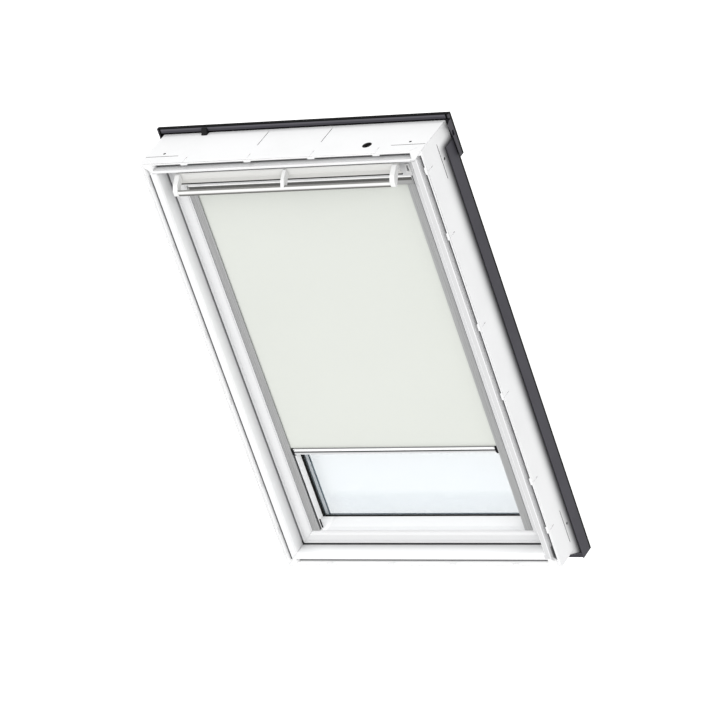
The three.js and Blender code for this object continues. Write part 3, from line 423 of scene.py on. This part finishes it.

# from the flap's top: painted shade darkens it downwards, and a painted shadow lines its foot
flapSettings = {
    "head": rgb(0.58, 0.58, 0.565),
    "shadedBelly": rgb(0.5, 0.498, 0.48),
    "foot": rgb(0.05, 0.048, 0.043),
    "fall": (-1.5, -26.5),
    "footLine": (-30.0, -31.0),
    "cloud": (18.0, 3.0, 0.5),
    "roughness": 0.34,
    "coat": 0.0,
}

# from the control bar's top: painted shade on its top face and a painted shadow under it
barSettings = {
    "front": rgb(0.62, 0.62, 0.612),
    "top": rgb(0.17, 0.168, 0.16),
    "under": rgb(0.06, 0.058, 0.052),
    "topEdge": (-2.0, -1.0),
    "footEdge": (-6.0, -10.5),
    "cloud": (25.0, 3.0, 0.5),
    "roughness": 0.3,
    "coat": 0.15,
}


def topOf(nodeName):
    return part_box(nodeName)[1][2]


def lacquer(recipe, cloud, color, settings):
    grain = recipe.noise(*filmSettings["grain"])
    return recipe.finish({
        "Base Color": color,
        "Roughness": settings["roughness"] + (cloud - 0.5) * filmSettings["patchy"],
        "Specular IOR Level": filmSettings["shine"],
        "Coat Weight": settings["coat"],
        "Coat Roughness": filmSettings["coatRoughness"],
        "Normal": recipe.bump(grain, *filmSettings["grainBump"]),
    })


def lacqueredWhite(name, settings):
    recipe = Recipe(name)
    cloud = recipe.noise(*settings["cloud"])
    color = recipe.mixColors(cloud, settings["color"], settings["shade"])
    return lacquer(recipe, cloud, color, settings)


def flapLacquer(name, settings):
    recipe = Recipe(name)
    cloud = recipe.noise(*settings["cloud"])
    top = topOf("vent_flap")
    fall = recipe.z.across(top, settings["fall"])
    foot = recipe.z.across(top, settings["footLine"])
    color = recipe.mixColors(fall, settings["head"], settings["shadedBelly"])
    color = recipe.mixColors(foot, color, settings["foot"])
    return lacquer(recipe, cloud, color, settings)


def barLacquer(name, settings):
    recipe = Recipe(name)
    cloud = recipe.noise(*settings["cloud"])
    top = topOf("control_bar")
    topFace = recipe.z.across(top, settings["topEdge"])
    under = recipe.z.across(top, settings["footEdge"])
    color = recipe.mixColors(topFace, settings["front"], settings["top"])
    color = recipe.mixColors(under, color, settings["under"])
    return lacquer(recipe, cloud, color, settings)


# high, strip, topFold and footFold from the hood's top, cheek from its end, side from the cover's outer
# side, sideFold and cheekFold from the outer faces of cover and hood
claddingSettings = {
    "dark": rgb(0.043, 0.0415, 0.049),
    "light": rgb(0.05, 0.0485, 0.057),
    "foldShade": rgb(0.001, 0.001, 0.0012),
    "wornAndLit": rgb(0.105, 0.102, 0.115),
    "cheekColor": rgb(0.055, 0.053, 0.06),
    "high": -16.0,
    "strip": (-7.5, -6.5),
    "topFold": (-2.5, -1.5),
    "footFold": (-11.8, -12.8),
    "cheek": -4.0,
    "cheekFold": (-7.5, -6.5),
    "side": -2.5,
    "sideFold": (-7.3, -6.3),
    "litStripShare": 0.6,
    "cloud": (9.0, 4.0, 0.55),
    "cloudSpan": (0.3, 0.7),
    "speck": (2600.0, 2.0, 0.6),
    "speckBump": (0.25, 0.00003),
    "roll": (40.0, 3.0, 0.5),
    "rollStretch": (1.0, 1.0, 0.06),
    "rollBump": (0.2, 0.0002),
    "roughness": 0.42,
    "patchy": 0.2,
    "shine": 0.05,
}


def lacqueredGrey(name, settings):
    recipe = Recipe(name)
    cloud = recipe.noise(*settings["cloud"])
    speck = recipe.noise(*settings["speck"])
    roll = recipe.noise(*settings["roll"], stretch=settings["rollStretch"])
    hoodEnd, hoodFace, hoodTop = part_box("hood")[1]
    coverSide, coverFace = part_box("side_cover_right")[1][:2]
    cheekStart = hoodEnd + settings["cheek"] * mm
    reach = recipe.x.size()
    high = recipe.z > hoodTop + settings["high"] * mm
    patches = cloud.smoothUp(*settings["cloudSpan"])
    color = recipe.mixColors(patches, settings["dark"], settings["light"])
    # painted light: the hood's upward-facing top strip is lighter
    strip = high * recipe.z.across(hoodTop, settings["strip"])
    color = recipe.mixColors(strip * settings["litStripShare"], color, settings["wornAndLit"])
    color = recipe.mixColors(reach > cheekStart, color, settings["cheekColor"])
    # painted shade: the folded edges of hood, covers and cheeks are near black
    top = recipe.z.across(hoodTop, settings["topFold"])
    foot = high * recipe.z.across(hoodTop, settings["footFold"])
    onSide = (reach > coverSide + settings["side"] * mm) * (reach < cheekStart)
    side = recipe.y.across(coverFace, settings["sideFold"]) * onSide
    cheek = recipe.y.across(hoodFace, settings["cheekFold"]) * (reach > cheekStart)
    foldShades = top.larger(foot).larger(side + cheek)
    gentle = recipe.bump(roll, *settings["rollBump"])
    return recipe.finish({
        "Base Color": recipe.mixColors(foldShades, color, settings["foldShade"]),
        "Roughness": settings["roughness"] + (speck - 0.5) * settings["patchy"],
        "Specular IOR Level": settings["shine"],
        "Normal": recipe.bump(speck, *settings["speckBump"], gentle),
    })


# what the seals and the black plastic share
blackSettings = {
    "dust": (120.0, 4.0, 0.6),
    "dustSpan": (0.4, 0.8),
    "grain": (1500.0, 2.0, 0.5),
    "grainBump": (0.4, 0.00004),
    "patchy": 0.15,
    "shine": 0.15,
}
rubberSettings = {
    "color": rgb(0.006, 0.006, 0.006),
    "dusty": rgb(0.016, 0.0155, 0.015),
    "roughness": 0.62,
}
plasticSettings = {
    "color": rgb(0.004, 0.004, 0.005),
    "dusty": rgb(0.008, 0.008, 0.009),
    "roughness": 0.5,
}


def blackRubber(name, settings):
    recipe = Recipe(name)
    dust = recipe.noise(*blackSettings["dust"])
    grain = recipe.noise(*blackSettings["grain"])
    dusty = dust.smoothUp(*blackSettings["dustSpan"])
    return recipe.finish({
        "Base Color": recipe.mixColors(dusty, settings["color"], settings["dusty"]),
        "Roughness": settings["roughness"] + dust * blackSettings["patchy"],
        "Specular IOR Level": blackSettings["shine"],
        "Normal": recipe.bump(grain, *blackSettings["grainBump"]),
    })


steelSettings = {
    "color": rgb(0.5, 0.51, 0.52),
    "shade": rgb(0.62, 0.62, 0.61),
    "spangle": 260.0,
    "brush": (90.0, 4.0, 0.6),
    "brushStretch": (1.0, 1.0, 14.0),
    "brushBump": (0.15, 0.00004),
    "roughness": 0.3,
    "patchy": 0.18,
}


def zincSteel(name, settings):
    recipe = Recipe(name)
    cells = {"Vector": recipe.place, "Scale": settings["spangle"]}
    spangle = recipe.wire("ShaderNodeTexVoronoi", {}, cells, output="Color")
    brush = recipe.noise(*settings["brush"], stretch=settings["brushStretch"])
    tone = recipe.axes(spangle)[0]
    return recipe.finish({
        "Base Color": recipe.mixColors(tone * 0.5 + brush * 0.5, settings["color"], settings["shade"]),
        "Metallic": 1.0,
        "Roughness": settings["roughness"] + brush * settings["patchy"],
        "Normal": recipe.bump(brush, *settings["brushBump"]),
    })


# drawing lines, which all aluminium shows along its length
drawnSettings = {
    "lines": (500.0, 3.0, 0.6),
    "stretch": 0.01,
    "span": (0.35, 0.65),
    "bump": (0.15, 0.00003),
    "patchy": 0.25,
    "metal": 0.85,
}
greySettings = {
    "color": rgb(0.26, 0.262, 0.262),
    "shade": rgb(0.32, 0.322, 0.322),
    "roughness": 0.42,
}
brightSettings = {
    "color": rgb(0.5, 0.505, 0.51),
    "shade": rgb(0.58, 0.585, 0.59),
    "roughness": 0.3,
}


def uprightLines(recipe):
    return recipe.noise(*drawnSettings["lines"], stretch=(1.0, 1.0, drawnSettings["stretch"]))


def levelLines(recipe):
    return recipe.noise(*drawnSettings["lines"], stretch=(drawnSettings["stretch"], 1.0, 1.0))


def anodised(name, settings):
    recipe = Recipe(name)
    lines = uprightLines(recipe) * 0.5 + levelLines(recipe) * 0.5
    bands = lines.smoothUp(*drawnSettings["span"])
    return recipe.finish({
        "Base Color": recipe.mixColors(bands, settings["color"], settings["shade"]),
        "Metallic": drawnSettings["metal"],
        "Roughness": settings["roughness"] + (lines - 0.5) * drawnSettings["patchy"],
        "Normal": recipe.bump(lines, *drawnSettings["bump"]),
    })


# from the cassette's top: a painted highlight strip, a painted shadow in the throat under it, then the face
cassetteSettings = {
    "strip": rgb(0.85, 0.85, 0.845),
    "shadedThroat": rgb(0.06, 0.059, 0.055),
    "face": rgb(0.3, 0.3, 0.298),
    "stripFoot": (-3.2, -3.7),
    "throatFoot": (-10.2, -13.2),
    "lineShare": 0.3,
    "roughness": 0.42,
    "metal": 0.3,
}


def cassetteGrey(name, settings):
    recipe = Recipe(name)
    lines = levelLines(recipe)
    top = topOf("blind_cassette")
    shadedThroat = recipe.z.across(top, settings["stripFoot"])
    face = recipe.z.across(top, settings["throatFoot"])
    color = recipe.mixColors(shadedThroat, settings["strip"], settings["shadedThroat"])
    color = recipe.mixColors(face, color, settings["face"])
    lined = (lines - 0.5).size() * settings["lineShare"]
    return recipe.finish({
        "Base Color": recipe.mixColors(lined, color, settings["face"]),
        "Metallic": settings["metal"],
        "Roughness": settings["roughness"] + (lines - 0.5) * drawnSettings["patchy"],
        "Normal": recipe.bump(lines, *drawnSettings["bump"]),
    })


# from the bottom bar's top: painted shade at the edge, a painted highlight bead, a painted shadow band,
# then a face whose painted shade lightens to its foot
railSettings = {
    "top": rgb(0.2, 0.2, 0.203),
    "beadHighlight": rgb(0.85, 0.852, 0.855),
    "shadowBand": rgb(0.012, 0.012, 0.013),
    "face": rgb(0.42, 0.425, 0.43),
    "foot": rgb(0.62, 0.625, 0.63),
    "topEdge": (-0.9, -0.4),
    "beadFoot": (-7.2, -7.7),
    "shadowBandFoot": (-11.2, -11.7),
    "fall": (-12.0, -17.5),
    "bump": (0.12, 0.00003),
    "roughness": 0.35,
    "metal": 0.5,
}


def railAluminium(name, settings):
    recipe = Recipe(name)
    lines = levelLines(recipe)
    top = topOf("bottom_bar")
    face = recipe.mixColors(recipe.z.across(top, settings["fall"]), settings["face"], settings["foot"])
    below = recipe.z.across(top, settings["beadFoot"])
    lower = recipe.z.across(top, settings["shadowBandFoot"])
    color = recipe.mixColors(below, settings["beadHighlight"], settings["shadowBand"])
    color = recipe.mixColors(lower, color, face)
    color = recipe.mixColors(recipe.z.across(top, settings["topEdge"]), color, settings["top"])
    return recipe.finish({
        "Base Color": color,
        "Metallic": lower * settings["metal"],
        "Roughness": settings["roughness"] + (lines - 0.5) * drawnSettings["patchy"],
        "Normal": recipe.bump(lines, *settings["bump"]),
    })


# cheekReach from the channel's inner side, where painted light whitens that side, which lies in shade
channelSettings = {
    "color": rgb(0.31, 0.312, 0.312),
    "shade": rgb(0.37, 0.372, 0.372),
    "cheek": rgb(0.9, 0.902, 0.905),
    "cheekReach": (0.6, 0.2),
    "cheekDull": 0.7,
    "roughness": 0.42,
}


def channelAluminium(name, settings):
    recipe = Recipe(name)
    draw = uprightLines(recipe)
    bands = draw.smoothUp(*drawnSettings["span"])
    color = recipe.mixColors(bands, settings["color"], settings["shade"])
    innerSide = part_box("channel_right")[0][0]
    cheek = recipe.x.size().across(innerSide, settings["cheekReach"])
    return recipe.finish({
        "Base Color": recipe.mixColors(cheek, color, settings["cheek"]),
        "Metallic": drawnSettings["metal"] - cheek * settings["cheekDull"],
        "Roughness": settings["roughness"] + (draw - 0.5) * drawnSettings["patchy"],
        "Normal": recipe.bump(draw, *drawnSettings["bump"]),
    })


# painted shade darkens the hollows of the foam's cells
foamSettings = {
    "color": rgb(0.32, 0.33, 0.34),
    "deep": rgb(0.1, 0.1, 0.11),
    "cells": 700.0,
    "cellSpan": (0.1, 0.6),
    "bump": (0.8, 0.0006),
    "roughness": 0.9,
}


def foam(name, settings):
    recipe = Recipe(name)
    cells = {"Vector": recipe.place, "Scale": settings["cells"]}
    hollow = recipe.wire("ShaderNodeTexVoronoi", {}, cells, output="Distance")
    wall = hollow.smoothUp(*settings["cellSpan"])
    return recipe.finish({
        "Base Color": recipe.mixColors(wall, settings["deep"], settings["color"]),
        "Roughness": settings["roughness"],
        "Normal": recipe.bump(hollow, *settings["bump"]),
    })


# sideBand leftwards from the window's middle, footBand from the inner pane's foot: a painted reflection
# there
glassSettings = {
    "color": rgb(0.24, 0.32, 0.37),
    "tinted": rgb(0.3, 0.34, 0.38),
    "tint": (40.0, 3.0, 0.5),
    "tintShare": 0.2,
    "alpha": 0.13,
    "band": 0.028,
    "sideBand": (262.0, 285.0),
    "footBand": (83.0, 61.0),
    "streak": (6.0, 3.0, 0.5),
    "streakStretch": (1.0, 1.0, 0.2),
    "streakAlpha": 0.012,
    "roughness": 0.02,
    "patchy": 0.03,
    "shine": 0.3,
}


def windowGlass(name, settings):
    recipe = Recipe(name)
    streak = recipe.noise(*settings["streak"], stretch=settings["streakStretch"])
    tint = recipe.noise(*settings["tint"])
    side = (recipe.x * -1.0).across(0.0, settings["sideBand"])
    foot = recipe.z.across(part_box("pane_inner")[0][2], settings["footBand"])
    band = side + foot - side * foot
    alpha = settings["alpha"] + band * settings["band"] + (streak - 0.5) * settings["streakAlpha"]
    return recipe.finish({
        "Base Color": recipe.mixColors(tint * settings["tintShare"], settings["color"], settings["tinted"]),
        "Roughness": settings["roughness"] + streak * settings["patchy"],
        "Specular IOR Level": settings["shine"],
        "Alpha": alpha,
    })


clothSettings = {
    "room": rgb(0.507, 0.522, 0.49),
    "shade": rgb(0.488, 0.503, 0.472),
    "threads": 1500.0,
    "slub": (300.0, 3.0, 0.6),
    "slubStretch": (0.2, 1.0, 1.0),
    "cloud": (3.0, 3.0, 0.5),
    "cloudBump": (0.3, 0.001),
    "cloudShare": 0.55,
    "slubShare": 0.3,
    "weaveShare": 0.08,
    "toneSpan": (0.2, 0.8),
    "weaveBump": (0.35, 0.00008),
    "roughness": 0.85,
    "sheen": 0.1,
    "shine": 0.25,
}


def blackoutCloth(name, settings):
    recipe = Recipe(name)
    pitch = settings["threads"] * math.pi
    weave = (recipe.x * pitch).sine() * (recipe.z * pitch).sine()
    slub = recipe.noise(*settings["slub"], stretch=settings["slubStretch"])
    cloud = recipe.noise(*settings["cloud"])
    tone = cloud * settings["cloudShare"] + slub * settings["slubShare"] + weave * settings["weaveShare"]
    tone = tone.smoothUp(*settings["toneSpan"])
    soft = recipe.bump(cloud, *settings["cloudBump"])
    return recipe.finish({
        "Base Color": recipe.mixColors(tone, settings["room"], settings["shade"]),
        "Roughness": settings["roughness"],
        "Sheen Weight": settings["sheen"],
        "Specular IOR Level": settings["shine"],
        "Normal": recipe.bump(weave + slub, *settings["weaveBump"], soft),
    })


finishes = {
    "white_polyurethane": mouldedWhite("mouldedWhite", whiteSettings),
    "white_lacquer": lacqueredWhite("lacqueredWhite", lacquerSettings),
    "grey_cladding": lacqueredGrey("lacqueredGrey", claddingSettings),
    "black_rubber": blackRubber("blackRubber", rubberSettings),
    "black_plastic": blackRubber("blackPlastic", plasticSettings),
    "zinc_steel": zincSteel("zincSteel", steelSettings),
    "window_glass": windowGlass("windowGlass", glassSettings),
    "grey_aluminium": anodised("greyAnodised", greySettings),
    "bright_aluminium": anodised("brightAnodised", brightSettings),
    "blackout_cloth": blackoutCloth("blackoutCloth", clothSettings),
    "filter_foam": foam("filterFoam", foamSettings),
}
# pieces whose finish differs a little from the rest of their slot
ownFinishes = {
    "sash_top": sashWhite("sashWhite", sashSettings),
    "vent_flap": flapLacquer("flapLacquer", flapSettings),
    "control_bar": barLacquer("barLacquer", barSettings),
    "blind_cassette": cassetteGrey("cassetteGrey", cassetteSettings),
    "bottom_bar": railAluminium("railAluminium", railSettings),
    "channel_left": channelAluminium("channelAluminium", channelSettings),
}
ownFinishes["channel_right"] = ownFinishes["channel_left"]
for side in ("bottom", "left", "right"):
    ownFinishes["sash_" + side] = ownFinishes["sash_top"]
print("finishes made")


def newPiece(name, mesh, body, slotName, finish=None):
    piece = bpy.data.objects.new(name, mesh)
    scene.collection.objects.link(piece)
    mesh.materials.clear()
    mesh.materials.append(finish or finishes[slotName])
    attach(piece, body)
    return piece


# angles in degrees; points closer than weld are one
edgeSettings = {
    "weld": 0.004 * mm,
    "flatAngle": 0.6,
    "sharpAngle": 40.0,
    "bevelAngle": 28.0,
    "segments": 2,
}


def cleanedMesh(nodeName, name, settings):
    shape = bmesh.new()
    shape.from_mesh(nodes[nodeName].data)
    bmesh.ops.remove_doubles(shape, verts=shape.verts, dist=settings["weld"])
    flat = math.radians(settings["flatAngle"])
    bmesh.ops.dissolve_limit(shape, angle_limit=flat, verts=shape.verts, edges=shape.edges)
    mesh = bpy.data.meshes.new(name)
    shape.to_mesh(mesh)
    shape.free()
    return mesh


def softenEdges(piece, width, settings):
    for face in piece.data.polygons:
        face.use_smooth = True
    piece.data.set_sharp_from_angle(angle=math.radians(settings["sharpAngle"]))
    bevel = piece.modifiers.new("edge", "BEVEL")
    bevel.width = width
    bevel.segments = settings["segments"]
    bevel.limit_method = "ANGLE"
    bevel.angle_limit = math.radians(settings["bevelAngle"])
    bevel.harden_normals = True
    weighted = piece.modifiers.new("flat", "WEIGHTED_NORMAL")
    weighted.keep_sharp = True


# all pieces but the cloth keep their CAD form, with the small rounds that moulds, presses and saws leave
roundings = {
    "white_polyurethane": 0.45 * mm,
    "white_lacquer": 0.4 * mm,
    "grey_cladding": 0.2 * mm,
    "black_rubber": 0.25 * mm,
    "black_plastic": 0.3 * mm,
    "zinc_steel": 0.2 * mm,
    "window_glass": 0.5 * mm,
    "grey_aluminium": 0.12 * mm,
    "bright_aluminium": 0.15 * mm,
    "filter_foam": 0.5 * mm,
}
madeByHand = {"cloth", "cloth_roll"}


def dress(nodeName):
    slotName = slotOf[nodeName]
    name = nodeName + "_finished"
    mesh = cleanedMesh(nodeName, name, edgeSettings)
    piece = newPiece(name, mesh, bodyOf[nodeName], slotName, ownFinishes.get(nodeName))
    softenEdges(piece, roundings[slotName], edgeSettings)
    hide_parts(nodeName)


for nodeName in nodes:
    if nodeName not in madeByHand:
        dress(nodeName)
print("cad pieces dressed")


rollShape = {"round": 0.3 * mm}


def makeRoll(shape):
    name = "cloth_roll_wound"
    mesh = cleanedMesh("cloth_roll", name, edgeSettings)
    piece = newPiece(name, mesh, bodyOf["cloth_roll"], "blackout_cloth")
    softenEdges(piece, shape["round"], edgeSettings)
    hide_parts("cloth_roll")


# the hung cloth has points only along its head and its foot, so it stays straight wherever the bar
# stands; waves in radians per metre of width
clothShape = {"columns": 60, "thickness": 0.6 * mm, "ripple": 0.12 * mm, "waves": (31.0, 4.0)}


def clothRow(bm, shape, low, high, side, z):
    middle = (low[1] + high[1]) / 2
    row = []
    for i in range(shape["columns"] + 1):
        x = low[0] + (high[0] - low[0]) * i / shape["columns"]
        wave = math.prod(math.sin(x * pace) for pace in shape["waves"])
        y = middle + side * shape["thickness"] + wave * shape["ripple"]
        row.append(bm.verts.new((x, y, z)))
    return row


def makeCloth(shape):
    low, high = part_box("cloth")
    bm = bmesh.new()
    corners = ((-0.5, low[2]), (-0.5, high[2]), (0.5, high[2]), (0.5, low[2]))
    rows = [clothRow(bm, shape, low, high, side, z) for side, z in corners]
    for a, b in zip(rows, rows[1:] + rows[:1]):
        for i in range(shape["columns"]):
            bm.faces.new((a[i], a[i + 1], b[i + 1], b[i]))
    for end in (0, -1):
        bm.faces.new([row[end] for row in rows])
    bmesh.ops.recalc_face_normals(bm, faces=bm.faces)
    mesh = bpy.data.meshes.new("blind_cloth")
    bm.to_mesh(mesh)  # left flat shaded, as smooth normals would run round its ends and shade the face
    bm.free()
    piece = bpy.data.objects.new("blind_cloth", mesh)
    scene.collection.objects.link(piece)
    mesh.materials.append(finishes["blackout_cloth"])
    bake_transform(piece)
    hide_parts("cloth")


makeRoll(rollShape)
makeCloth(clothShape)
print("cloth hung")


studio = {
    "floorZ": -2.6,
    "floorSize": 60.0,
    "floorColors": (rgb(0.6, 0.6, 0.6), rgb(0.59, 0.59, 0.59)),
    "floorGlow": 0.42,
    "glowColors": (rgb(1.0, 1.0, 1.0), rgb(0.99, 0.99, 0.99)),
    "floorSpeck": (2.0, 3.0, 0.5),
    "floorRoughness": 0.8,
    "floorShine": 0.0,
    "sky": 0.7,
    "skyColor": rgb(1.0, 1.0, 1.0),
    "lamps": [
        {"name": "key", "energy": 0.55, "from": (-0.42, -0.84, 0.52), "spread": 6.0},
        {"name": "overhead", "energy": 1.3, "from": (0.2, 0.45, 1.0), "spread": 30.0},
        {"name": "window", "energy": 1.1, "from": (0.75, -0.6, 0.35), "spread": 30.0},
        {"name": "front", "energy": 1.4, "from": (0.0, -0.7, 0.9), "spread": 40.0},
    ],
}


def makeSky(setup):
    world = bpy.data.worlds.new("studio")
    world.use_nodes = True
    backdrop = world.node_tree.nodes["Background"]
    backdrop.inputs["Color"].default_value = setup["skyColor"]
    backdrop.inputs["Strength"].default_value = setup["sky"]
    scene.world = world


def paleFloor(name, setup):
    recipe = Recipe(name)
    speck = recipe.noise(*setup["floorSpeck"])
    return recipe.finish({
        "Base Color": recipe.mixColors(speck, *setup["floorColors"]),
        "Roughness": setup["floorRoughness"],
        "Specular IOR Level": setup["floorShine"],
        "Emission Color": recipe.mixColors(speck, *setup["glowColors"]),
        "Emission Strength": setup["floorGlow"],
    })


def makeFloor(setup):
    half = setup["floorSize"] / 2
    corners = [(-half, -half), (half, -half), (half, half), (-half, half)]
    mesh = bpy.data.meshes.new("floor")
    mesh.from_pydata([(x, y, setup["floorZ"]) for x, y in corners], [], [(0, 1, 2, 3)])
    floor = bpy.data.objects.new("floor", mesh)
    scene.collection.objects.link(floor)
    mesh.materials.append(paleFloor("paleFloor", setup))


# a lamp shines from its place through the part's foot, and its spread is in degrees
def makeLamp(row):
    data = bpy.data.lights.new(row["name"], "SUN")
    data.energy = row["energy"]
    data.angle = math.radians(row["spread"])
    lamp = bpy.data.objects.new(data.name, data)
    lamp.location = row["from"]
    lamp.rotation_euler = Vector(row["from"]).to_track_quat("Z", "Y").to_euler()
    scene.collection.objects.link(lamp)


makeSky(studio)
makeFloor(studio)
for row in studio["lamps"]:
    makeLamp(row)
scene.view_settings.view_transform = "Standard"
scene.view_settings.look = "None"
print("studio lit")
